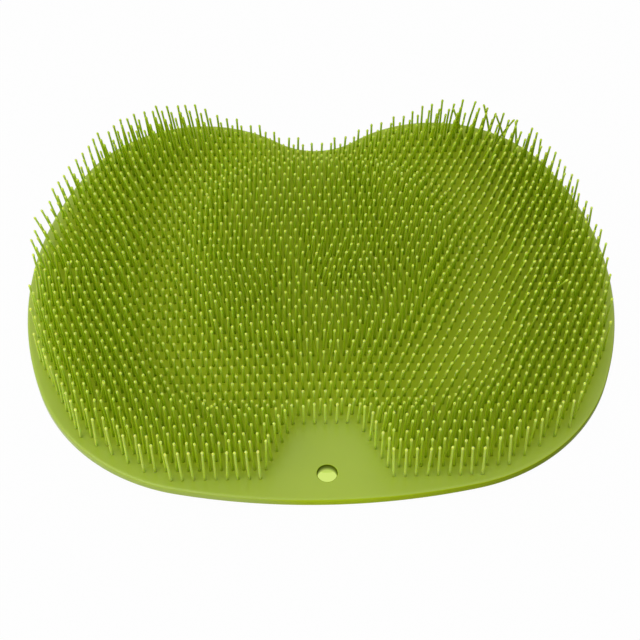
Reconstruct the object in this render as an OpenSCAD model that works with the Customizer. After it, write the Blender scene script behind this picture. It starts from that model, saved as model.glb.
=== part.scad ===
// Foot scrubber mat, moulded in one piece: a kidney-shaped plate with a field of soft bristles
// on top, a clear bay around a hanging hole, and suction cups below.
// Millimetres, +Z up. The origin is on the floor under the middle of the plate; the front is -Y.
// The bristles are fewer and thicker than the real ones, which are 1.2 mm thick and 5 mm apart,
// to keep the solid small.

/* [Outline of the plate] */
// Radius of the lobes at the back
lobe_radius = 69; // [60:0.5:80]
// Distance between the middles of the two lobes
lobe_spacing = 125; // [110:1:140]
// Distance from the origin back to the middles of the lobes
lobe_setback = 54.2; // [45:0.1:65]
// Radius of the rounded front corners
corner_radius = 90.5; // [80:0.5:100]
// Distance between the middles of the two front corners
corner_spacing = 98; // [80:1:120]
// Distance from the origin forward to the middles of the front corners
corner_setback = 27.5; // [20:0.5:35]
// Radius of the front edge
front_radius = 323; // [250:1:500]
// Radius of the side edges
side_radius = 172; // [150:1:220]
// Radius of the notch between the lobes
notch_radius = 34; // [20:1:50]

/* [Plate] */
// Thickness of the plate
plate_thickness = 4.5; // [3:0.1:7]
// Radius of the rounded upper edge of the plate
top_round = 1.4; // [0.5:0.1:2]
// Width of the chamfer along the lower edge of the plate
bottom_chamfer = 0.7; // [0.3:0.1:1]

/* [Hanging hole] */
// Radius of the hole
hole_radius = 4.5; // [3:0.1:5.5]
// Distance from the middle of the hole to the front edge
hole_setback = 14.4; // [11:0.1:17]
// Width of the rounding at both mouths of the hole
hole_round = 0.5; // [0.2:0.1:0.8]

/* [Bristles] */
// Spacing of the bristles along a row, and of the rows; each row is shifted by half
bristle_pitch = 7; // [6:0.25:10]
// Radius of a bristle
bristle_radius = 0.8; // [0.5:0.05:1.2]
// Length of the bristles around the rim
rim_bristle = 21.5; // [16:0.1:26]
// Length of the bristles in the hollow inside the rim
hollow_bristle = 12; // [9:0.1:15]
// Length of the bristles in the middle of the hollow
middle_bristle = 19.8; // [16:0.1:24]
// Least distance from a bristle to the edge of the plate
bristle_margin = 4.2; // [4:0.1:8]
// Distance from the front row of bristles to the front edge
front_margin = 12.3; // [10:0.1:16]

/* [Lie of the bristle ends] */
// Length of the hollow inside the rim bristles, from side to side
hollow_length = 178; // [150:1:200]
// Depth of the hollow, from front to back
hollow_depth = 186; // [150:1:200]
// Length of the raised patch in the hollow
middle_length = 138; // [100:1:160]
// Depth of the raised patch
middle_depth = 138; // [100:1:160]

/* [Clear bay] */
// Depth of the bay, from the front row of bristles back
bay_depth = 27.5; // [24:0.5:36]
// Width of the bay at its back
bay_back_width = 32; // [24:1:40]

/* [Suction cups] */
// Spacing of the cups along a row
cup_pitch = 25; // [22:0.5:32]
// Radius of the lip of a cup
cup_radius = 8.5; // [6:0.1:10]
// Radius of the neck between a cup and the plate
cup_neck_radius = 4.25; // [3:0.25:5]
// Radius of the flat roof in the hollow of a cup
cup_roof_radius = 3; // [2:0.1:4]
// Width of the lip of a cup
cup_lip_width = 0.8; // [0.5:0.1:1.2]
// Height of the edge of the lip
cup_lip_height = 0.6; // [0.3:0.1:1]
// Height of a cup
cup_height = 6; // [5:0.1:8]
// Depth of the hollow in a cup
cup_hollow = 3.6; // [2.5:0.1:4]
// Least distance from the lip of a cup to the edge of the plate
cup_margin = 9; // [8:0.5:14]
// Least distance from the lip of a cup to the hanging hole
cup_hole_gap = 2; // [1:0.5:6]
// Distance from the front edge to the first row of cups
cup_setback = 30; // [26:1:36]

/* [Hidden] */
// One half of the outline: centre and radius of each arc, every arc tangent to the next
lobe = [lobe_spacing / 2, lobe_setback, lobe_radius];
corner = [corner_spacing / 2, -corner_setback, corner_radius];
front = [0, corner.y + sqrt(pow(front_radius - corner.z, 2) - pow(corner.x, 2)), front_radius];
notch = [0, lobe.y + sqrt(pow(notch_radius + lobe.z, 2) - pow(lobe.x, 2)), notch_radius];
join = [corner.x - lobe.x, corner.y - lobe.y];
join_length = norm(join);
lobe_reach = side_radius - lobe.z;
corner_reach = side_radius - corner.z;
along = (pow(lobe_reach, 2) - pow(corner_reach, 2) + pow(join_length, 2)) / (2 * join_length);
off = sqrt(pow(lobe_reach, 2) - pow(along, 2));
side = [
  lobe.x + (join.x * along + join.y * off) / join_length,
  lobe.y + (join.y * along - join.x * off) / join_length,
  side_radius
];
// Directions of the joints between the arcs, seen from the arcs' centres
front_end = atan2(corner.y - front.y, corner.x - front.x);
side_start = atan2(corner.y - side.y, corner.x - side.x);
side_end = atan2(lobe.y - side.y, lobe.x - side.x);
notch_end = atan2(lobe.y - notch.y, lobe.x - notch.x);
lobe_end = notch_end + 180;

plate_bottom = cup_height;
plate_top = cup_height + plate_thickness;
front_y = front.y - front.z;
back_y = lobe.y + lobe.z;
// Longest straight step along the outline
outline_step = 6;
half_length = side.x + side.z;
// How far the bristles and cups reach into the plate
sink = 0.4;
// How far the flare of a mouth of the hole stands out of the face that it cuts
overlap = 0.02;
// How far the bore of the hole goes past both faces
bore_overrun = 1;
// Larger than any distance on the plate
far = 1000;
// Steps around a hole, a bristle and a cup
hole_steps = 72;
bristle_steps = 16;
cup_steps = 48;
// The plate is a flat core inside this inset, with an edge ring that reaches in over it
core_inset = 2.4;
ring_inset = 3;

front_row_y = front_y + front_margin;
bay_back_y = front_row_y + bay_depth;
row_count = floor((back_y - front_row_y) / bristle_pitch);
column_count = ceil(half_length / bristle_pitch);
hole_y = front_y + hole_setback;

// The hollow inside the rim bristles, and the raised patch in its middle
hollow_half = [hollow_length, hollow_depth] / 2;
hollow_y = bay_back_y + hollow_half.y;
hollow_squareness = 4;
middle_half = [middle_length, middle_depth] / 2;
// The patch lies this far behind the middle of the hollow
middle_shift = 5;
middle_y = hollow_y + middle_shift;
middle_squareness = 2.5;
// Where the bristles start to lengthen, as a share of the way out, and over which share they do
rim_start = 0.91;
rim_rise = 0.17;
middle_start = 0.8;
middle_fall = 0.3;
// The rim of long bristles dies out between the lobes: this far behind their middles, this far
// inside them, and over this run
rim_end_shift = 5;
rim_end_inset = 18;
rim_end_run = 20;
rim_end_y = lobe.y + rim_end_shift;
rim_end_x = lobe.x - rim_end_inset;

// Thickness of the roof of a cup where its bell starts
cup_roof = 1;
// The rows of cups lie as in a honeycomb
cup_row_pitch = cup_pitch * sqrt(3) / 2;
cup_row_y = front_y + cup_setback;
cup_rows = floor((back_y - cup_row_y) / cup_row_pitch);
cup_columns = ceil(half_length / cup_pitch);

scrubber_mat();

// Distance from a point of the plate to its edge, taken from the arc that the point faces
function edge_gap(x, y) =
  let (
    a = abs(x),
    at_front = atan2(y - front.y, a - front.x),
    at_corner = atan2(y - corner.y, a - corner.x),
    at_side = atan2(y - side.y, a - side.x),
    at_lobe = atan2(y - lobe.y, a - lobe.x),
    at_notch = atan2(y - notch.y, a - notch.x)
  )
  min(
    at_front < front_end ? front.z - norm([a - front.x, y - front.y]) : far,
    at_corner >= front_end && at_corner <= side_start
      ? corner.z - norm([a - corner.x, y - corner.y]) : far,
    at_side >= side_start && at_side <= side_end
      ? side.z - norm([a - side.x, y - side.y]) : far,
    at_lobe >= side_end && at_lobe <= lobe_end
      ? lobe.z - norm([a - lobe.x, y - lobe.y]) : far,
    at_notch <= notch_end ? norm([a - notch.x, y - notch.y]) - notch.z : far
  );

function ease(t) = let (s = min(max(t, 0), 1)) s * s * (3 - 2 * s);

// Squared-off oval: 1 on its outline, less inside
function oval(x, y, half, squareness) =
  pow(pow(abs(x / half.x), squareness) + pow(abs(y / half.y), squareness), 1 / squareness);

// How far a point is in the rim of long bristles, 0 to 1
function rim_share(x, y) =
  let (
    outward = ease((abs(x) - rim_end_x) / rim_end_run),
    backward = ease((y - rim_end_y) / rim_end_run),
    way_out = oval(x, y - hollow_y, hollow_half, hollow_squareness)
  )
  ease((way_out - rim_start) / rim_rise) * (1 - backward * (1 - outward));

// How far a point is on the raised patch, 0 to 1
function middle_share(x, y) =
  1 - ease((oval(x, y - middle_y, middle_half, middle_squareness) - middle_start) / middle_fall);

function bristle_length(x, y) =
  hollow_bristle
    + (rim_bristle - hollow_bristle) * rim_share(x, y)
    + (middle_bristle - hollow_bristle) * middle_share(x, y);

// The bay widens towards the front
function in_bay(x, y) =
  y < bay_back_y && abs(x) < bay_back_width / 2 + (bay_back_y - y) / 2;

module scrubber_mat() {
  color([0.56, 0.68, 0.18])
    union() {
      difference() {
        plate();
        hole();
      }
      bristles();
      cups();
    }
}

// Points along the outline, a distance inside it, counted anticlockwise from the middle of the front
function arc_points(arc, from, to, inset) =
  let (n = ceil(abs(to - from) * PI / 180 * abs(arc.z) / outline_step))
  [for (k = [0:n - 1])
    let (t = from + (to - from) * k / n)
    [arc.x + (arc.z - inset) * cos(t), arc.y + (arc.z - inset) * sin(t)]
  ];
function half_outline(inset) = concat(
  arc_points(front, -90, front_end, inset),
  arc_points(corner, front_end, side_start, inset),
  arc_points(side, side_start, side_end, inset),
  arc_points(lobe, side_end, lobe_end, inset),
  arc_points(notch, notch_end, -90, -inset),
  [[0, notch.y - notch.z - inset]]
);
function outline(inset) =
  let (half = half_outline(inset), n = len(half))
  concat(half, [for (k = [n - 2:-1:1]) [-half[k].x, half[k].y]]);

// Section of the edge ring, from below: how far each line of it lies in, and its height
edge_lines = concat(
  [
    [ring_inset, plate_bottom],
    [bottom_chamfer, plate_bottom],
    [0, plate_bottom + bottom_chamfer]
  ],
  [for (a = [0:30:90]) [top_round * (1 - cos(a)), plate_top - top_round * (1 - sin(a))]],
  [[ring_inset, plate_top]]
);

// The rounded edge of the plate, all the way round
module edge_ring() {
  rings = [for (line = edge_lines) [for (p = outline(line[0])) [p.x, p.y, line[1]]]];
  lines = len(rings);
  n = len(rings[0]);
  polyhedron(
    points = [for (ring = rings) each ring],
    faces = [for (r = [0:lines - 1]) for (k = [0:n - 1])
      let (next = (k + 1) % n, above = (r + 1) % lines)
      [r * n + k, above * n + k, above * n + next, r * n + next]
    ]
  );
}

module plate() {
  translate([0, 0, plate_bottom])
    linear_extrude(plate_thickness)
      polygon(outline(core_inset));
  edge_ring();
}

module hole() {
  translate([0, hole_y, 0]) {
    translate([0, 0, plate_bottom - bore_overrun])
      cylinder(h = plate_thickness + 2 * bore_overrun, r = hole_radius, $fn = hole_steps);
    translate([0, 0, plate_top - hole_round])
      cylinder(
        h = hole_round + overlap,
        r1 = hole_radius, r2 = hole_radius + hole_round + overlap, $fn = hole_steps
      );
    translate([0, 0, plate_bottom - overlap])
      cylinder(
        h = hole_round + overlap,
        r1 = hole_radius + hole_round + overlap, r2 = hole_radius, $fn = hole_steps
      );
  }
}

// Where the bristles stand: every place of the lattice that is clear of the edge and of the bay
spots = [
  for (row = [0:row_count], column = [-column_count:column_count])
    let (
      x = (column + (row % 2) / 2) * bristle_pitch,
      y = front_row_y + row * bristle_pitch
    )
    if (edge_gap(x, y) > bristle_margin && !in_bay(x, y)) [x, y]
];

// The root of each bristle is sunk in the plate
module bristles() {
  for (spot = spots)
    translate([spot.x, spot.y, plate_top - sink])
      cylinder(
        h = sink + bristle_length(spot.x, spot.y), r = bristle_radius, $fn = bristle_steps
      );
}

// One cup: a neck under the plate, a flared bell and its hollow
module cup() {
  rotate_extrude($fn = cup_steps)
    polygon([
      [0, cup_hollow],
      [cup_roof_radius, cup_hollow],
      [cup_radius - cup_lip_width, 0],
      [cup_radius, 0],
      [cup_radius, cup_lip_height],
      [cup_neck_radius, cup_hollow + cup_roof],
      [cup_neck_radius, cup_height + sink],
      [0, cup_height + sink]
    ]);
}

module cups() {
  for (row = [0:cup_rows]) {
    y = cup_row_y + row * cup_row_pitch;
    shift = row % 2 == 0 ? 0 : cup_pitch / 2;
    for (column = [-cup_columns:cup_columns]) {
      x = column * cup_pitch + shift;
      if (
        edge_gap(x, y) > cup_radius + cup_margin
          && norm([x, y - hole_y]) > cup_radius + hole_radius + cup_hole_gap
      )
        translate([x, y, 0])
          cup();
    }
  }
}
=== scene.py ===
import math
import random

import bpy
import numpy as np
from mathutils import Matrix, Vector


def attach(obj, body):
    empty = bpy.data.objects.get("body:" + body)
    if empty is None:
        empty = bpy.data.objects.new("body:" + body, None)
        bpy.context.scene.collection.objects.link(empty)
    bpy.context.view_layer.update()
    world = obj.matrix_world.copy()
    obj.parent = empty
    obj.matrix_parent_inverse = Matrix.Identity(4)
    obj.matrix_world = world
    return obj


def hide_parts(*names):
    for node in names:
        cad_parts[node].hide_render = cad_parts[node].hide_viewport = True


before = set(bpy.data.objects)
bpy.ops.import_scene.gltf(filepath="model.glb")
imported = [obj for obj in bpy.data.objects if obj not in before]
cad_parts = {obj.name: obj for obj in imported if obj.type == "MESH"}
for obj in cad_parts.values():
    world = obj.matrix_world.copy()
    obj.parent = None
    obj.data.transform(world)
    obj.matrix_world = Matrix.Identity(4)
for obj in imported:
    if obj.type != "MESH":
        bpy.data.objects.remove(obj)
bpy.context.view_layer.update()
scene = bpy.context.scene
print("frame loaded")

# Lengths are in metres, in the place where the CAD model is.
closeBy = 0.00001


def deselectAll():
    if bpy.context.object and bpy.context.object.mode != "OBJECT":
        bpy.ops.object.mode_set(mode="OBJECT")
    bpy.ops.object.select_all(action="DESELECT")


def activate(piece):
    deselectAll()
    piece.select_set(True)
    bpy.context.view_layer.objects.active = piece


def startAtPoint(name, point):
    # one vertex to draw a line from
    deselectAll()
    bpy.ops.mesh.primitive_circle_add(vertices=3, radius=0.001, location=point)
    piece = bpy.context.object
    piece.name = piece.data.name = name
    bpy.ops.object.transform_apply(location=True, rotation=True, scale=True)
    bpy.ops.object.mode_set(mode="EDIT")
    bpy.ops.mesh.select_mode(type="VERT")
    bpy.ops.mesh.select_all(action="SELECT")
    bpy.ops.mesh.merge(type="CENTER")
    return piece


def lathe(name, profile, place, steps):
    # profile is a list of (radius, height), turned round the upright line through place
    start = Vector((place[0] + profile[0][0], place[1], profile[0][1]))
    piece = startAtPoint(name, start)
    for (r0, z0), (r1, z1) in zip(profile, profile[1:]):
        bpy.ops.mesh.extrude_vertices_move(TRANSFORM_OT_translate={"value": (r1 - r0, 0, z1 - z0)})
    bpy.ops.mesh.select_all(action="SELECT")
    bpy.ops.mesh.spin(steps=steps, angle=math.tau, center=(place[0], place[1], 0), axis=(0, 0, 1))
    bpy.ops.mesh.select_all(action="SELECT")
    bpy.ops.mesh.remove_doubles(threshold=closeBy / 5)
    bpy.ops.mesh.normals_make_consistent(inside=False)
    bpy.ops.object.mode_set(mode="OBJECT")
    return piece


def copyTo(piece, name, corners):
    # a copy with its own mesh, its vertices at the given corners
    twin = piece.copy()
    twin.data = piece.data.copy()
    twin.name = twin.data.name = name
    twin.data.vertices.foreach_set("co", np.asarray(corners, np.float32).ravel())
    scene.collection.objects.link(twin)
    return twin


def cornersOf(piece):
    co = np.zeros(len(piece.data.vertices) * 3, np.float32)
    piece.data.vertices.foreach_get("co", co)
    return co.reshape(-1, 3)


def joinAll(pieces, name):
    deselectAll()
    for piece in pieces:
        piece.select_set(True)
    bpy.context.view_layer.objects.active = pieces[0]
    bpy.ops.object.join()
    joined = bpy.context.object
    joined.name = joined.data.name = name
    return joined


# Plate: the kidney outline is ten arcs, each tangent to the next
plate = {
    "lobeRadius": 0.069, "lobeSpacing": 0.125, "lobeSetback": 0.0542,
    "cornerRadius": 0.0905, "cornerSpacing": 0.098, "cornerSetback": 0.0275,
    "frontRadius": 0.323, "sideRadius": 0.172, "notchRadius": 0.034,
    "arcStep": 0.002,
    "bottom": 0.006, "thickness": 0.0045,
    "topRound": 0.0014, "topRoundSteps": 5,
    "bottomChamfer": 0.0007,
    "flatRing": 0.0006,
    # size of the squares that the top is cut into, and how far off the middle the cuts are
    "colourStep": 0.004, "cutShift": 0.37,
    # places along X and the openness that the side wall gets there: painted shade, darker towards the right
    "wallShadeAt": (-0.04, -0.01, 0.10), "wallShadeFactor": (1, 0.1, 0.042),
    "holeRadius": 0.0045, "holeSetback": 0.0144, "holeSteps": 64,
    "holeRound": 0.0005, "holeRoundSteps": 3,
}


def arcsOfOutline():
    # right half of the outline from the front: centre, radius, start and end direction of each arc
    lobe = Vector((plate["lobeSpacing"] / 2, plate["lobeSetback"]))
    corner = Vector((plate["cornerSpacing"] / 2, -plate["cornerSetback"]))
    frontReach = plate["frontRadius"] - plate["cornerRadius"]
    front = Vector((0, corner.y + math.sqrt(frontReach**2 - corner.x**2)))
    notchReach = plate["notchRadius"] + plate["lobeRadius"]
    notch = Vector((0, lobe.y + math.sqrt(notchReach**2 - lobe.x**2)))
    join = corner - lobe
    lobeReach = plate["sideRadius"] - plate["lobeRadius"]
    cornerReach = plate["sideRadius"] - plate["cornerRadius"]
    along = (lobeReach**2 - cornerReach**2 + join.length**2) / (2 * join.length)
    off = math.sqrt(lobeReach**2 - along**2)
    side = lobe + join.normalized() * along + Vector((join.y, -join.x)).normalized() * off

    def direction(a, b):
        return math.atan2(b.y - a.y, b.x - a.x)

    frontEnd = direction(front, corner)
    sideStart = direction(side, corner)
    sideEnd = direction(side, lobe)
    notchEnd = direction(notch, lobe)
    return [
        (front, plate["frontRadius"], -math.pi / 2, frontEnd),
        (corner, plate["cornerRadius"], frontEnd, sideStart),
        (side, plate["sideRadius"], sideStart, sideEnd),
        (lobe, plate["lobeRadius"], sideEnd, notchEnd + math.pi),
        (notch, plate["notchRadius"], notchEnd, -math.pi / 2),
    ]


def selectLevelFaces(piece, direction, height=None):
    # faces that look up (1) or down (-1), and if height is given only those at it
    bpy.ops.object.mode_set(mode="OBJECT")
    for part in (piece.data.vertices, piece.data.edges):
        part.foreach_set("select", np.zeros(len(part), bool))
    faces = piece.data.polygons
    normals = np.zeros(len(faces) * 3)
    middles = np.zeros(len(faces) * 3)
    faces.foreach_get("normal", normals)
    faces.foreach_get("center", middles)
    nearlyLevel = 0.9
    chosen = normals[2::3] * direction > nearlyLevel
    if height is not None:
        chosen &= np.abs(middles[2::3] - height) < closeBy
    faces.foreach_set("select", chosen)
    bpy.ops.object.mode_set(mode="EDIT")
    bpy.ops.mesh.select_mode(type="FACE")


def makePlate():
    arcs = arcsOfOutline()
    wallBottom = plate["bottom"] + plate["bottomChamfer"]
    top = plate["bottom"] + plate["thickness"]
    front, radius = arcs[0][:2]
    frontY = front.y - radius
    piece = startAtPoint("scrubberPlate", (0, frontY, wallBottom))
    for centre, radius, start, end in arcs:
        steps = max(3, round(abs(end - start) * radius / plate["arcStep"]))
        bpy.ops.mesh.spin(steps=steps, angle=start - end, center=(centre.x, centre.y, 0), axis=(0, 0, 1))
    bpy.ops.object.mode_set(mode="OBJECT")
    mirror = piece.modifiers.new("mirror", "MIRROR")
    mirror.use_clip = True
    mirror.merge_threshold = closeBy
    bpy.ops.object.modifier_apply(modifier=mirror.name)
    bpy.ops.object.mode_set(mode="EDIT")
    bpy.ops.mesh.select_mode(type="VERT")
    bpy.ops.mesh.select_all(action="SELECT")
    bpy.ops.mesh.remove_doubles(threshold=closeBy)
    bpy.ops.mesh.edge_face_add()
    wallHeight = plate["thickness"] - plate["bottomChamfer"] - plate["topRound"]
    bpy.ops.mesh.extrude_region_move(TRANSFORM_OT_translate={"value": (0, 0, wallHeight)})
    bpy.ops.mesh.select_all(action="SELECT")
    bpy.ops.mesh.normals_make_consistent(inside=False)
    # the rounded upper edge, one inset per step
    selectLevelFaces(piece, 1)
    steps = plate["topRoundSteps"]
    for k in range(steps):
        a, b = (math.pi / 2 * i / steps for i in (k, k + 1))
        bpy.ops.mesh.inset(
            thickness=plate["topRound"] * (math.cos(a) - math.cos(b)),
            depth=plate["topRound"] * (math.sin(b) - math.sin(a)),
            use_even_offset=True,
        )
    bpy.ops.mesh.inset(thickness=plate["flatRing"], depth=0)
    bpy.ops.mesh.delete(type="ONLY_FACE")
    selectLevelFaces(piece, -1)
    bpy.ops.mesh.inset(thickness=plate["bottomChamfer"], depth=plate["bottomChamfer"])
    bpy.ops.mesh.inset(thickness=plate["flatRing"], depth=0)
    bpy.ops.mesh.delete(type="ONLY_FACE")
    bpy.ops.object.mode_set(mode="OBJECT")
    # the bore of the hanging hole, with rounded mouths
    profile = []
    steps = plate["holeRoundSteps"]
    for k in range(steps + 1):
        a = math.pi / 2 * k / steps
        profile.append((
            plate["holeRadius"] + plate["holeRound"] * (1 - math.sin(a)),
            top - plate["holeRound"] * (1 - math.cos(a)),
        ))
    profile.insert(0, (plate["holeRadius"] + plate["holeRound"] + plate["flatRing"], top))
    middle = plate["bottom"] + plate["thickness"] / 2
    lower = [(r, 2 * middle - z) for r, z in reversed(profile)]
    profile += [(plate["holeRadius"], middle)] + lower
    holeY = frontY + plate["holeSetback"]
    bore = lathe("bore", profile, (0, holeY), plate["holeSteps"])
    piece = joinAll([piece, bore], "scrubberPlate")
    bpy.ops.object.mode_set(mode="EDIT")
    for height in (top, plate["bottom"]):
        selectOpenLines(piece, height)
        bpy.ops.mesh.fill(use_beauty=True)
    bpy.ops.mesh.select_all(action="SELECT")
    bpy.ops.mesh.normals_make_consistent(inside=False)
    # the top is cut into small squares, so that the painted shade in its colour can change from place to
    # place
    halfSize = piece.dimensions / 2
    for axis in (0, 1):
        cuts = int(halfSize[axis] / plate["colourStep"])
        for k in range(-cuts, cuts + 1):
            place = [0, 0, 0]
            place[axis] = (k + plate["cutShift"]) * plate["colourStep"]
            selectLevelFaces(piece, 1, top)
            bpy.ops.mesh.bisect(plane_co=place, plane_no=(1 - axis, axis, 0), threshold=closeBy / 10)
    bpy.ops.object.mode_set(mode="OBJECT")
    return piece, frontY


def selectOpenLines(piece, height):
    # edges with only one face, at this height
    bpy.ops.mesh.select_mode(type="EDGE")
    bpy.ops.mesh.select_all(action="DESELECT")
    bpy.ops.mesh.select_non_manifold(extend=False, use_wire=False, use_multi_face=False, use_verts=False)
    bpy.ops.object.mode_set(mode="OBJECT")
    for edge in piece.data.edges:
        ends = [piece.data.vertices[i].co.z for i in edge.vertices]
        edge.select = edge.select and all(abs(z - height) < closeBy for z in ends)
    for vertex in piece.data.vertices:
        vertex.select = False
    for edge in piece.data.edges:
        if edge.select:
            for i in edge.vertices:
                piece.data.vertices[i].select = True
    bpy.ops.object.mode_set(mode="EDIT")


plateTop = plate["bottom"] + plate["thickness"]
platePiece, frontY = makePlate()
print("plate made", len(platePiece.data.polygons), "faces")


# Places of the cups, taken from the CAD node
cupRoof = 0.0036
cupReach = 0.008
cadCorners = cornersOf(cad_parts["scrubber_mat"])


def cupsOfCad():
    roof = cadCorners[np.abs(cadCorners[:, 2] - cupRoof) < 2 * closeBy].astype(float)
    middles = []
    while len(roof):
        near = np.hypot(roof[:, 0] - roof[0, 0], roof[:, 1] - roof[0, 1]) < cupReach
        group = roof[near]
        middles.append((group.min(0) + group.max(0)) / 2)
        roof = roof[~near]
    return [(m[0], m[1]) for m in middles]


# Field of bristles, by the same rules as in the CAD, which has fewer and wider ones because
# its mesh would be too large with them all
field = {
    "pitch": 0.005, "margin": 0.0042, "frontMargin": 0.0123,
    "rimLength": 0.0215, "hollowLength": 0.012, "middleLength": 0.0198,
    "bayDepth": 0.0275, "bayHalfWidth": 0.016,
    # half sizes and squareness of the hollow inside the rim bristles and of its raised middle
    "hollow": (0.089, 0.093, 4), "middle": (0.069, 0.069, 2.5), "middleShift": 0.005,
    # where the lengths change, as a share of the way out, and over which share
    "rimRise": (0.91, 0.17), "middleFall": (0.8, 0.3),
    # the rim dies out between the lobes
    "rimEndShift": 0.005, "rimEndInset": 0.018, "rimEndRun": 0.020,
}


def edgeGap(x, y, arcs):
    # distance from a point of the plate to its edge, taken from the arc that the point faces
    gaps = [1]
    for arc, (centre, radius, start, end) in enumerate(arcs):
        away = Vector((abs(x) - centre.x, y - centre.y))
        if min(start, end) <= math.atan2(away.y, away.x) <= max(start, end):
            hollowArc = arc == len(arcs) - 1
            gaps.append(away.length - radius if hollowArc else radius - away.length)
    return min(gaps)


def ease(t):
    s = min(max(t, 0), 1)
    return s * s * (3 - 2 * s)


def oval(x, y, halfX, halfY, squareness):
    # squared-off oval: 1 on its outline, less inside
    return (abs(x / halfX) ** squareness + abs(y / halfY) ** squareness) ** (1 / squareness)


def bristleLength(x, y, bayBack):
    hollowY = bayBack + field["hollow"][1]
    rimEndX = plate["lobeSpacing"] / 2 - field["rimEndInset"]
    rimEndY = plate["lobeSetback"] + field["rimEndShift"]
    outward = ease((abs(x) - rimEndX) / field["rimEndRun"])
    backward = ease((y - rimEndY) / field["rimEndRun"])
    rimStart, rimRun = field["rimRise"]
    rim = ease((oval(x, y - hollowY, *field["hollow"]) - rimStart) / rimRun) * (1 - backward * (1 - outward))
    middleStart, middleRun = field["middleFall"]
    middleOut = oval(x, y - hollowY - field["middleShift"], *field["middle"])
    middle = 1 - ease((middleOut - middleStart) / middleRun)
    low = field["hollowLength"]
    return low + (field["rimLength"] - low) * rim + (field["middleLength"] - low) * middle


def bristlesOfField():
    arcs = arcsOfOutline()
    pitch = field["pitch"]
    frontRow = frontY + field["frontMargin"]
    bayBack = frontRow + field["bayDepth"]
    found = []
    columns = int(platePiece.dimensions.x / 2 / pitch) + 1
    for row in range(int((platePiece.dimensions.y - field["frontMargin"]) / pitch) + 1):
        y = frontRow + row * pitch
        for column in range(-columns, columns + 1):
            x = (column + (row % 2) / 2) * pitch
            inBay = y < bayBack and abs(x) < field["bayHalfWidth"] + (bayBack - y) / 2
            if edgeGap(x, y, arcs) > field["margin"] and not inBay:
                found.append((x, y, bristleLength(x, y, bayBack)))
    return found


bristleSpots = bristlesOfField()
cupSpots = cupsOfCad()
print("bristles", len(bristleSpots), "cups", len(cupSpots))

# How openly a point lies among the bristles: 0 deep between them, 1 free of them.
# It paints shade: the silicone's colour is made deeper down in the field, where shade falls between the
# bristles.
openness = {
    "spread": 0.007, "frontShift": (-0.002, -0.004), "overlap": 0.010,
    "depth": 2.0, "free": 0.28, "pointsAtOnce": 500,
}


def opennessOf(points):
    spots = np.array(bristleSpots)
    full = math.tau * openness["spread"] ** 2 / field["pitch"] ** 2
    result = []
    for some in np.array_split(points, max(1, len(points) // openness["pointsAtOnce"])):
        across = spots[None, :, 0] - some[:, None, 0] - openness["frontShift"][0]
        back = spots[None, :, 1] - some[:, None, 1] - openness["frontShift"][1]
        near = np.exp(-(across**2 + back**2) / (2 * openness["spread"] ** 2))
        over = (spots[None, :, 2] - (some[:, None, 2] - plateTop)) / openness["overlap"]
        cover = (near * np.clip(over, 0, 1)).sum(1) / full
        result.append(np.exp(-openness["depth"] * np.maximum(0, cover - openness["free"])))
    return np.concatenate(result)


def writeAttribute(piece, name, values):
    if name not in piece.data.attributes:
        piece.data.attributes.new(name, "FLOAT", "POINT")
    piece.data.attributes[name].data.foreach_set("value", values)


# The bore gets painted shade, a dark colour, and at its foot a painted glow, an emission that stands in for
# light coming through the silicone
tone = {
    # how much of the rounding at the mouth and of the upper edge counts to the bore and the wall, for their
    # painted shade
    "mouthShare": 0.9, "edgeShare": 0.35,
    # how fast the painted glow fades up the bore
    "glowFade": 1.6,
    # how open the cups are, which gives them a little painted shade, and from the hole outwards: reach,
    # fading run and most of their painted glow
    "cupOpen": 0.8, "cupGlow": (0.022, 0.004, 0.8),
}
platePoints = cornersOf(platePiece).astype(float)
fromHole = np.hypot(platePoints[:, 0], platePoints[:, 1] - frontY - plate["holeSetback"])
inBore = fromHole < plate["holeRadius"] + plate["holeRound"] * tone["mouthShare"]
# painted shade on the plate: a deeper colour where bristles stand around, the darkest colour in the bore
plateOpen = opennessOf(platePoints)
plateOpen[inBore] = 0
# painted shade: the side wall is darker on the right, away from the light
onWall = ~inBore & (platePoints[:, 2] < plateTop - plate["topRound"] * tone["edgeShare"])
wallShadeFactor = np.interp(platePoints[:, 0], plate["wallShadeAt"], plate["wallShadeFactor"])
plateOpen[onWall] *= wallShadeFactor[onWall]
upBore = (platePoints[:, 2] - plate["bottom"]) / plate["thickness"]
boreGlow = np.where(inBore, np.clip(1 - tone["glowFade"] * upBore, 0, 1), 0)
# the open attribute carries the painted shade, the glow attribute the painted glow
writeAttribute(platePiece, "open", plateOpen)
writeAttribute(platePiece, "glow", boreGlow)

# Suction cups: one is turned on the lathe, the rest are copies
cup = {
    "height": 0.006, "radius": 0.0085, "hollow": cupRoof, "roofRadius": 0.003,
    "lipWidth": 0.0008, "lipHeight": 0.0006, "neckRadius": 0.00425, "roof": 0.001,
    "sink": 0.0004, "steps": 32,
}


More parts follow.
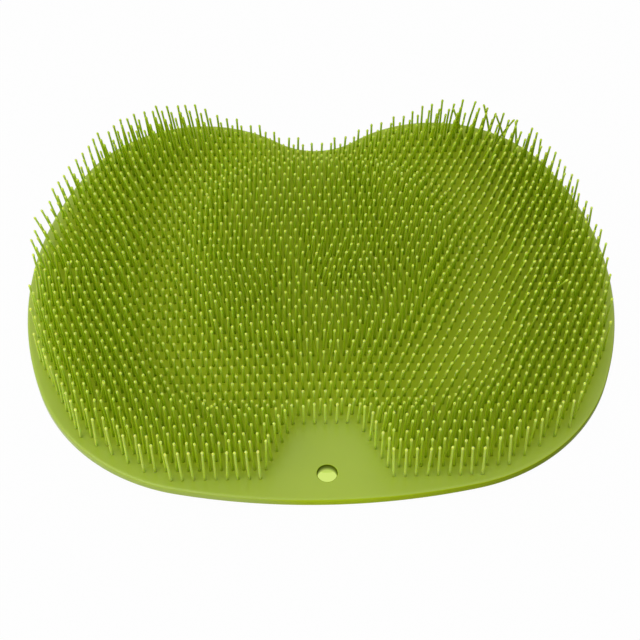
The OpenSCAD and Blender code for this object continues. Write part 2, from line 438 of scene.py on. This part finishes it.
def makeCups():
    bell = [
        (0, cup["hollow"]),
        (cup["roofRadius"] * 0.6, cup["hollow"] - 0.00003),
        (cup["roofRadius"], cup["hollow"] - 0.0002),
        ((cup["roofRadius"] + cup["radius"] - cup["lipWidth"]) / 2, cup["hollow"] * 0.52),
        (cup["radius"] - cup["lipWidth"], 0.0001),
        (cup["radius"] - cup["lipWidth"] * 0.6, 0),
        (cup["radius"] - 0.0001, 0.00005),
        (cup["radius"], cup["lipHeight"] * 0.5),
        (cup["radius"] - 0.0001, cup["lipHeight"]),
        ((cup["radius"] + cup["neckRadius"]) / 2, (cup["lipHeight"] + cup["hollow"] + cup["roof"]) / 2),
        (cup["neckRadius"] + 0.0002, cup["hollow"] + cup["roof"]),
        (cup["neckRadius"], cup["hollow"] + cup["roof"] + 0.0004),
        (cup["neckRadius"], cup["height"] - 0.0003),
        (cup["neckRadius"] + 0.0003, cup["height"] + cup["sink"]),
        (0, cup["height"] + cup["sink"]),
    ]
    first = lathe("cup", bell, (0, 0), cup["steps"])
    shape = cornersOf(first).copy()
    copies = [copyTo(first, "cup", shape + (x, y, 0)) for x, y in cupSpots]
    bpy.data.objects.remove(first)
    return joinAll(copies, "suctionCups")


cupPiece = makeCups()
# the cups that show through the hole get the same painted glow as its foot
cupPoints = cornersOf(cupPiece)
fromHole = np.hypot(cupPoints[:, 0], cupPoints[:, 1] - frontY - plate["holeSetback"])
glowReach, glowRun, glowMost = tone["cupGlow"]
# every cup gets a little painted shade, as it stands under the plate
writeAttribute(cupPiece, "open", np.full(len(cupPoints), tone["cupOpen"]))
writeAttribute(cupPiece, "glow", np.clip((glowReach - fromHole) / glowRun, 0, glowMost))
print("cups made", len(cupPiece.data.polygons), "faces")

# Bristles: one is turned on the lathe at unit length, the rest are bent copies
bristle = {
    "sides": 8,
    # radius, share of the length, distance above that share, and how much painted highlight the colour gets
    "profile": [
        (0.00066, 0, -0.0003, 0), (0.00060, 0.2, 0, 0), (0.00056, 0.55, 0, 0), (0.00053, 1, -0.0018, 0.15),
        (0.00070, 1, -0.0008, 0.9), (0.00052, 1, -0.0002, 1), (0, 1, 0, 1),
    ],
    # how the stems curve at the front and at the back: under 1 the foot leans most, over 1 the end
    "frontBend": 0.72, "backBend": 1.3, "bendChange": (-0.095, 0.05),
    "fullLength": 0.0205,
    # painted shade: the back rows are darker, also on their heads: where that starts, over which run and by
    # what share
    "backShade": (0.070, 0.040, 0.6),
    # how open the stems of inner bristles stay, which sets their painted shade, and from which painted
    # highlight on a ring it counts as a head
    "innerOpen": 0.05, "headLight": 0.5,
    "seed": 11,
    "scatter": 0.0005,
    "lengthScatter": 0.0004,
}
# patches where the bristles lie over together: middle, reach and lean at full length
leanPatches = [
    (-0.102, 0.055, 0.042, -0.0036, 0.0008),
    (-0.108, 0.000, 0.034, -0.0022, 0.0),
    (-0.075, 0.100, 0.040, -0.0022, 0.0022),
    (0.072, 0.090, 0.036, 0.0052, 0.0020),
    (0.078, 0.040, 0.036, 0.0042, 0.0006),
    (0.082, -0.008, 0.034, 0.0036, 0.0),
    (0.058, -0.052, 0.034, 0.0048, 0.0),
    (0.060, 0.112, 0.020, -0.0030, 0.0),
    (0.066, 0.028, 0.018, -0.0036, 0.0),
    (0.033, -0.012, 0.019, -0.0044, 0.0),
    (0.005, 0.008, 0.016, 0.0034, 0.0),
    (0.015, -0.060, 0.022, 0.0010, 0.0),
    (-0.127, -0.002, 0.015, 0.0030, 0.0),
    (-0.142, 0.030, 0.018, -0.0034, 0.0),
    (0.070, -0.098, 0.022, -0.0018, 0.0),
    (-0.078, -0.058, 0.032, -0.0016, 0.0),
    (-0.035, -0.088, 0.024, -0.0014, 0.0),
    (-0.040, 0.040, 0.030, 0.0014, 0.0),
    (-0.034, -0.004, 0.018, -0.0026, 0.0),
    (-0.018, -0.048, 0.018, -0.0024, 0.0),
]
# single bristles that stand out of line: where they stand and how far their ends lean over
strays = [
    (-0.1055, -0.072, 0.0050, 0.0), (-0.0555, -0.087, 0.0070, 0.001), (-0.0505, -0.078, -0.0030, 0.0),
    (0.080, 0.112, -0.0085, 0.0), (0.096, 0.108, -0.0065, 0.002), (0.101, 0.103, -0.0080, -0.001),
    (0.107, 0.096, -0.0040, 0.004), (0.095, 0.102, 0.0060, 0.0), (0.050, -0.083, -0.0075, 0.0),
    (0.045, -0.078, -0.0070, 0.001), (0.054, -0.088, -0.0060, 0.0), (0.024, -0.072, -0.0050, 0.0),
    (0.108, -0.012, 0.0060, -0.003), (0.118, 0.020, 0.0070, 0.0), (-0.128, 0.004, 0.0050, 0.0),
]


def makeBristles():
    dice = random.Random(bristle["seed"])
    unit = [(r, share + rise) for r, share, rise, _ in bristle["profile"]]
    first = lathe("bristle", unit, (0, 0), bristle["sides"])
    activate(first)
    bpy.ops.object.mode_set(mode="EDIT")
    bpy.ops.mesh.select_mode(type="EDGE")
    bpy.ops.mesh.select_all(action="DESELECT")
    bpy.ops.mesh.select_non_manifold()
    bpy.ops.mesh.edge_face_add()
    bpy.ops.mesh.select_all(action="SELECT")
    bpy.ops.mesh.normals_make_consistent(inside=False)
    bpy.ops.object.mode_set(mode="OBJECT")
    bpy.ops.object.shade_smooth()
    shape = cornersOf(first).astype(float)
    ring = np.abs(shape[:, 2, None] - [z for _, z in unit]).argmin(1)
    share, rise, light = np.array(bristle["profile"])[ring, 1:].T
    spots = np.array(bristleSpots)
    strayLean = {}
    for x, y, dx, dy in strays:
        strayLean[int(np.hypot(spots[:, 0] - x, spots[:, 1] - y).argmin())] = (dx, dy)
    # openness at each ring of each bristle, for its painted shade
    rings = [(s, r) for _, s, r, _ in bristle["profile"]]
    levels = [(x, y, plateTop + s * length + r) for x, y, length in bristleSpots for s, r in rings]
    openAt = opennessOf(np.array(levels)).reshape(len(spots), len(rings))
    middles = np.array([(x, y, plateTop + length / 2) for x, y, length in bristleSpots])
    atBack = np.clip((spots[:, 1] - bristle["backShade"][0]) / bristle["backShade"][1], 0, 1)
    backShadeTone = 1 - bristle["backShade"][2] * atBack
    outer = (opennessOf(middles) * backShadeTone)[:, None]
    headRings = np.array([entry[3] > bristle["headLight"] for entry in bristle["profile"]])
    stemOpen = bristle["innerOpen"] + (1 - bristle["innerOpen"]) * outer
    openAt = np.where(headRings, outer, openAt * stemOpen)
    left, right = [], []
    for number, (x, y, length) in enumerate(bristleSpots):
        length -= dice.random() * bristle["lengthScatter"]
        leanX = dice.gauss(0, bristle["scatter"])
        leanY = dice.gauss(0, bristle["scatter"])
        for px, py, reach, dx, dy in leanPatches:
            weight = math.exp(-((x - px) ** 2 + (y - py) ** 2) / reach**2)
            leanX += weight * dx
            leanY += weight * dy
        leanX += strayLean.get(number, (0, 0))[0]
        leanY += strayLean.get(number, (0, 0))[1]
        height = share * length + rise
        change = min(1, max(0, (y - bristle["bendChange"][0]) / bristle["bendChange"][1]))
        curve = bristle["frontBend"] + change * (bristle["backBend"] - bristle["frontBend"])
        bend = np.clip(height / length, 0, 1) ** curve * (length / bristle["fullLength"])
        corners = np.column_stack([
            x + shape[:, 0] + leanX * bend,
            y + shape[:, 1] + leanY * bend,
            plateTop + height,
        ])
        twin = copyTo(first, "bristle", corners)
        # painted shade along the stem and a painted highlight on the head
        writeAttribute(twin, "open", openAt[number][ring])
        writeAttribute(twin, "tipHighlight", light * backShadeTone[number])
        (left if x < 0 else right).append(twin)
    bpy.data.objects.remove(first)
    return joinAll(left, "bristlesLeft"), joinAll(right, "bristlesRight")


bristlePieces = makeBristles()
print("bristles made", [len(p.data.polygons) for p in bristlePieces])

# Silicone: one moulding in one colour, with painted shade deeper between the bristles and painted highlights
# on their ends
silicone = {
    # painted shade: the bore colour and the colours in shade; the plate's colour in shade is also more
    # saturated, standing in for light bounced between the bristles
    "bore": (0.07, 0.105, 0.001), "plateInShade": (0.362, 0.474, 0.009), "plate": (0.335, 0.446, 0.030),
    "stemInShade": (0.305, 0.412, 0.009), "stem": (0.475, 0.60, 0.093),
    # colour of the painted glow at the bore's foot
    "glow": (0.52, 0.66, 0.13),
    # painted light and shade: how much lighter the bristles are on the left, where the light comes from,
    # than on the right, over the mat's length
    "leftLitTone": 1.06, "rightShadedTone": 0.93, "toneReach": 0.12,
    # painted highlights on the heads: dimmer deep in the field, brighter out in the open
    "shadedTipHighlight": (0.46, 0.58, 0.08), "litTipHighlight": (0.66, 0.79, 0.17),
    "plateRoughness": 0.32, "bristleRoughness": 0.5,
    "plateShine": 0.5, "bristleShine": 0.06,
    "plateSoftness": 0.3, "bristleSoftness": 0.9,
    # how far light spreads in the silicone, as a whole and by colour
    "scatter": 0.0025, "scatterColour": (0.7, 1.0, 0.15),
    # openness where the colour in shade and the open colour are reached
    "deepAt": 0.1, "openAt": 0.9,
    "grainScale": 900, "grainDetail": 3, "grainStrength": 0.12, "grainHeight": 0.0002,
    "cloudScale": 28, "cloudDetail": 2, "cloudRange": (0.93, 1.07),
    "sharpEdge": 35,
}


def makeSilicone(name, colours, roughness, shine, softness):
    # the colours are painted shade for a bore, painted shade deep between the bristles, and the colour out
    # in the open
    material = bpy.data.materials.new(name)
    material.use_nodes = True
    nodes = material.node_tree.nodes
    links = material.node_tree.links
    shader = nodes["Principled BSDF"]
    shader.inputs["Roughness"].default_value = roughness
    shader.inputs["Subsurface Weight"].default_value = softness
    shader.inputs["Subsurface Radius"].default_value = silicone["scatterColour"]
    shader.inputs["Subsurface Scale"].default_value = silicone["scatter"]
    coordinates = nodes.new("ShaderNodeTexCoord")
    # fine grain of the moulding, and slow unevenness in its tone
    grain = nodes.new("ShaderNodeTexNoise")
    grain.inputs["Scale"].default_value = silicone["grainScale"]
    grain.inputs["Detail"].default_value = silicone["grainDetail"]
    links.new(coordinates.outputs["Object"], grain.inputs["Vector"])
    bump = nodes.new("ShaderNodeBump")
    bump.inputs["Strength"].default_value = silicone["grainStrength"]
    bump.inputs["Distance"].default_value = silicone["grainHeight"]
    links.new(grain.outputs["Fac"], bump.inputs["Height"])
    links.new(bump.outputs["Normal"], shader.inputs["Normal"])
    opened = nodes.new("ShaderNodeAttribute")
    opened.attribute_name = "open"
    depth = nodes.new("ShaderNodeValToRGB")
    depth.color_ramp.interpolation = "EASE"
    boreColour, shadedColour, openColour = colours
    first, last = depth.color_ramp.elements
    first.position = 0
    first.color = (*boreColour, 1)
    last.position = silicone["openAt"]
    last.color = (*openColour, 1)
    depth.color_ramp.elements.new(silicone["deepAt"]).color = (*shadedColour, 1)
    links.new(opened.outputs["Fac"], depth.inputs["Fac"])
    # painted shade on the shine: less specular where the openness is low, down between the bristles
    shineOutOfShade = nodes.new("ShaderNodeMath")
    shineOutOfShade.operation = "MULTIPLY"
    shineOutOfShade.inputs[1].default_value = shine
    links.new(opened.outputs["Fac"], shineOutOfShade.inputs[0])
    links.new(shineOutOfShade.outputs[0], shader.inputs["Specular IOR Level"])
    cloud = nodes.new("ShaderNodeTexNoise")
    cloud.inputs["Scale"].default_value = silicone["cloudScale"]
    cloud.inputs["Detail"].default_value = silicone["cloudDetail"]
    links.new(coordinates.outputs["Object"], cloud.inputs["Vector"])
    uneven = nodes.new("ShaderNodeMapRange")
    uneven.inputs["To Min"].default_value = silicone["cloudRange"][0]
    uneven.inputs["To Max"].default_value = silicone["cloudRange"][1]
    links.new(cloud.outputs["Fac"], uneven.inputs["Value"])
    toned = nodes.new("ShaderNodeVectorMath")
    toned.operation = "SCALE"
    links.new(depth.outputs["Color"], toned.inputs[0])
    links.new(uneven.outputs["Result"], toned.inputs["Scale"])
    links.new(toned.outputs["Vector"], shader.inputs["Base Color"])
    return material, shader, toned, opened, coordinates


# painted light on the bristles: lighter on the left and darker on the right, and painted highlights on the
# heads
def paintBristleLight(material, shader, toned, opened, coordinates):
    nodes = material.node_tree.nodes
    links = material.node_tree.links
    split = nodes.new("ShaderNodeSeparateXYZ")
    links.new(coordinates.outputs["Object"], split.inputs["Vector"])
    across = nodes.new("ShaderNodeMapRange")
    across.inputs["From Min"].default_value = -silicone["toneReach"]
    across.inputs["From Max"].default_value = silicone["toneReach"]
    across.inputs["To Min"].default_value = silicone["leftLitTone"]
    across.inputs["To Max"].default_value = silicone["rightShadedTone"]
    links.new(split.outputs["X"], across.inputs["Value"])
    sided = nodes.new("ShaderNodeVectorMath")
    sided.operation = "SCALE"
    links.new(toned.outputs["Vector"], sided.inputs[0])
    links.new(across.outputs["Result"], sided.inputs["Scale"])
    tip = nodes.new("ShaderNodeMixRGB")
    tip.inputs["Color1"].default_value = (*silicone["shadedTipHighlight"], 1)
    tip.inputs["Color2"].default_value = (*silicone["litTipHighlight"], 1)
    links.new(opened.outputs["Fac"], tip.inputs["Fac"])
    tipHighlight = nodes.new("ShaderNodeAttribute")
    tipHighlight.attribute_name = "tipHighlight"
    mix = nodes.new("ShaderNodeMixRGB")
    links.new(tipHighlight.outputs["Fac"], mix.inputs["Fac"])
    links.new(sided.outputs["Vector"], mix.inputs["Color1"])
    links.new(tip.outputs["Color"], mix.inputs["Color2"])
    links.new(mix.outputs["Color"], shader.inputs["Base Color"])


def glowInBore(material, shader):
    nodes = material.node_tree.nodes
    # painted glow: emission on the plate and cups, which are no lamps
    glow = nodes.new("ShaderNodeAttribute")
    glow.attribute_name = "glow"
    shader.inputs["Emission Color"].default_value = (*silicone["glow"], 1)
    material.node_tree.links.new(glow.outputs["Fac"], shader.inputs["Emission Strength"])


plateParts = makeSilicone(
    "siliconePlate", (silicone["bore"], silicone["plateInShade"], silicone["plate"]),
    silicone["plateRoughness"], silicone["plateShine"], silicone["plateSoftness"],
)
plateSilicone = plateParts[0]
glowInBore(*plateParts[:2])
bristleParts = makeSilicone(
    "siliconeBristles", (silicone["stemInShade"], silicone["stemInShade"], silicone["stem"]),
    silicone["bristleRoughness"], silicone["bristleShine"], silicone["bristleSoftness"],
)
bristleSilicone = bristleParts[0]
paintBristleLight(*bristleParts)
for piece in (platePiece, cupPiece):
    activate(piece)
    bpy.ops.object.shade_smooth_by_angle(angle=math.radians(silicone["sharpEdge"]))
    piece.data.materials.clear()
    piece.data.materials.append(plateSilicone)
for piece in bristlePieces:
    piece.data.materials.clear()
    piece.data.materials.append(bristleSilicone)
for piece in (platePiece, cupPiece, *bristlePieces):
    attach(piece, "root")
    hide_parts("scrubber_mat")
print("materials set")

# Floor, lamps and camera
studio = {
    "floorSize": 6.0,
    "floorWhite": 0.45, "floorRoughness": 0.9, "floorShine": 0.1,
    # how much of the floor and of the world is plain white to the camera
    "whiteShare": 0.98, "worldWhiteShare": 1.0,
    "worldLeft": 0.95, "worldRight": 0.55,
    # place, width and height, and power of each lamp
    "keyLamp": ((-1.05, -0.55, 1.1), (1.8, 1.8), 6.0),
    "stripLamp": ((-1.1, -1.3, 1.6), (2.4, 0.2), 10),
    "fillLamp": ((0.5, -0.9, 1.6), (1.4, 1.4), 2),
    # painted light: a green colour on the floor under the hole stands in for light that comes down through
    # the green mat and the hole
    "paintedMatLight": (0.67, 0.84, 0.19), "underMatReach": (0.007, 0.013), "underMatBack": 0.007,
    "lookAt": (-0.0010, -0.0186, 0.0105),
    "cameraPlace": (-0.0125, -0.4831, 0.5631),
    "lens": 82.9, "sensorWidth": 36, "nearest": 0.01,
}


def whiteForCamera(nodes, links, shader, share):
    # the camera and mirror images see mostly plain white
    ray = nodes.new("ShaderNodeLightPath")
    seen = nodes.new("ShaderNodeMath")
    seen.operation = "MAXIMUM"
    links.new(ray.outputs["Is Camera Ray"], seen.inputs[0])
    links.new(ray.outputs["Is Glossy Ray"], seen.inputs[1])
    both = nodes.new("ShaderNodeMath")
    both.operation = "MAXIMUM"
    links.new(seen.outputs[0], both.inputs[0])
    links.new(ray.outputs["Is Transmission Ray"], both.inputs[1])
    amount = nodes.new("ShaderNodeMath")
    amount.operation = "MULTIPLY"
    amount.inputs[1].default_value = share
    links.new(both.outputs[0], amount.inputs[0])
    white = nodes.new("ShaderNodeEmission" if shader.type != "BACKGROUND" else "ShaderNodeBackground")
    white.inputs["Color"].default_value = (1, 1, 1, 1)
    mix = nodes.new("ShaderNodeMixShader")
    links.new(amount.outputs[0], mix.inputs["Fac"])
    links.new(shader.outputs[0], mix.inputs[1])
    links.new(white.outputs[0], mix.inputs[2])
    return mix


def makeFloor():
    deselectAll()
    bpy.ops.mesh.primitive_plane_add(size=studio["floorSize"], location=(0, 0, 0))
    floor = bpy.context.object
    floor.name = "floor"
    material = bpy.data.materials.new("floorWhite")
    material.use_nodes = True
    nodes = material.node_tree.nodes
    links = material.node_tree.links
    shader = nodes["Principled BSDF"]
    white = studio["floorWhite"]
    shader.inputs["Base Color"].default_value = (white, white, white, 1)
    shader.inputs["Roughness"].default_value = studio["floorRoughness"]
    shader.inputs["Specular IOR Level"].default_value = studio["floorShine"]
    mix = whiteForCamera(nodes, links, shader, studio["whiteShare"])
    # painted light: a green cast on the floor below the hole, in the colour the camera sees
    place = nodes.new("ShaderNodeTexCoord")
    away = nodes.new("ShaderNodeVectorMath")
    away.operation = "DISTANCE"
    away.inputs[1].default_value = (0, frontY + plate["holeSetback"] + studio["underMatBack"], 0)
    links.new(place.outputs["Object"], away.inputs[0])
    cast = nodes.new("ShaderNodeMapRange")
    cast.inputs["From Min"].default_value = studio["underMatReach"][0]
    cast.inputs["From Max"].default_value = studio["underMatReach"][1]
    links.new(away.outputs["Value"], cast.inputs["Value"])
    tint = nodes.new("ShaderNodeMixRGB")
    tint.inputs["Color1"].default_value = (*studio["paintedMatLight"], 1)
    tint.inputs["Color2"].default_value = (1, 1, 1, 1)
    links.new(cast.outputs["Result"], tint.inputs["Fac"])
    links.new(tint.outputs["Color"], nodes["Emission"].inputs["Color"])
    links.new(mix.outputs[0], nodes["Material Output"].inputs["Surface"])
    floor.data.materials.append(material)


def makeWorld():
    world = bpy.data.worlds.new("studio")
    scene.world = world
    world.use_nodes = True
    nodes = world.node_tree.nodes
    links = world.node_tree.links
    sky = nodes["Background"]
    sky.inputs["Color"].default_value = (1, 1, 1, 1)
    # brighter on the left than on the right
    place = nodes.new("ShaderNodeTexCoord")
    split = nodes.new("ShaderNodeSeparateXYZ")
    links.new(place.outputs["Generated"], split.inputs["Vector"])
    strength = nodes.new("ShaderNodeMapRange")
    strength.inputs["From Min"].default_value = -1
    strength.inputs["From Max"].default_value = 1
    strength.inputs["To Min"].default_value = studio["worldLeft"]
    strength.inputs["To Max"].default_value = studio["worldRight"]
    links.new(split.outputs["X"], strength.inputs["Value"])
    links.new(strength.outputs["Result"], sky.inputs["Strength"])
    mix = whiteForCamera(nodes, links, sky, studio["worldWhiteShare"])
    links.new(mix.outputs[0], nodes["World Output"].inputs["Surface"])


def makeLamp(name):
    place, size, power = studio[name]
    deselectAll()
    bpy.ops.object.light_add(type="AREA", location=place)
    lamp = bpy.context.object
    lamp.name = name
    lamp.data.shape = "RECTANGLE"
    lamp.data.size, lamp.data.size_y = size
    lamp.data.energy = power
    lamp.rotation_euler = (Vector(studio["lookAt"]) - Vector(place)).to_track_quat("-Z", "Y").to_euler()


def makeCamera():
    deselectAll()
    bpy.ops.object.camera_add(location=studio["cameraPlace"])
    camera = bpy.context.object
    camera.name = "photoCamera"
    camera.data.lens = studio["lens"]
    camera.data.sensor_width = studio["sensorWidth"]
    camera.data.clip_start = studio["nearest"]
    aim = Vector(studio["lookAt"]) - Vector(studio["cameraPlace"])
    camera.rotation_euler = aim.to_track_quat("-Z", "Y").to_euler()
    scene.camera = camera


makeFloor()
makeWorld()
for lampName in ("keyLamp", "stripLamp", "fillLamp"):
    makeLamp(lampName)
makeCamera()
scene.view_settings.view_transform = "Standard"
print("studio set")
